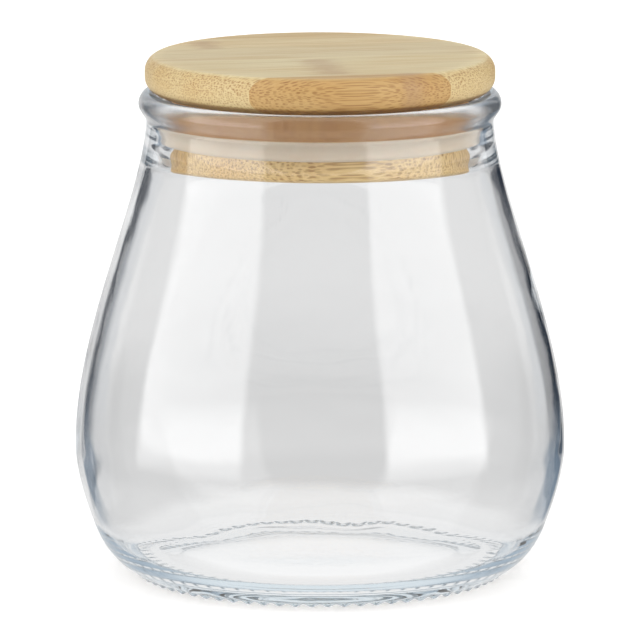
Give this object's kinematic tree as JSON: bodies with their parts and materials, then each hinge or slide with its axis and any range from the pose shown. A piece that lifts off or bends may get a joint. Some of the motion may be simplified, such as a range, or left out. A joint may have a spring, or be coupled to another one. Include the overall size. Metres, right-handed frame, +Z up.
{
  "type": "storage canister",
  "caption": "Pear-shaped clear glass canister closed by a round bamboo lid whose plug seals in the mouth with a silicone ring.",
  "frame": {"origin": "centre of the jar's foot, on the surface it stands on", "axes": "+Z up along the jar's axis; the lid's bamboo strips and grain run along X; the front faces -Y"},
  "size_m": [0.1502, 0.1502, 0.1595],
  "materials": {
    "glass": "clear moulded soda-lime glass, faintly blue where it is thick",
    "bamboo_board": "glued bamboo strips, sanded, with a thin matt oil",
    "bamboo_plug": "glued bamboo strips, sanded, with a thin matt oil",
    "gasket": "translucent soft silicone"
  },
  "bodies": {
    "root": {"glass_jar": "glass", "lid_board": "bamboo_board", "lid_plug": "bamboo_plug", "lid_gasket": "gasket"}
  },
  "joints": []
}
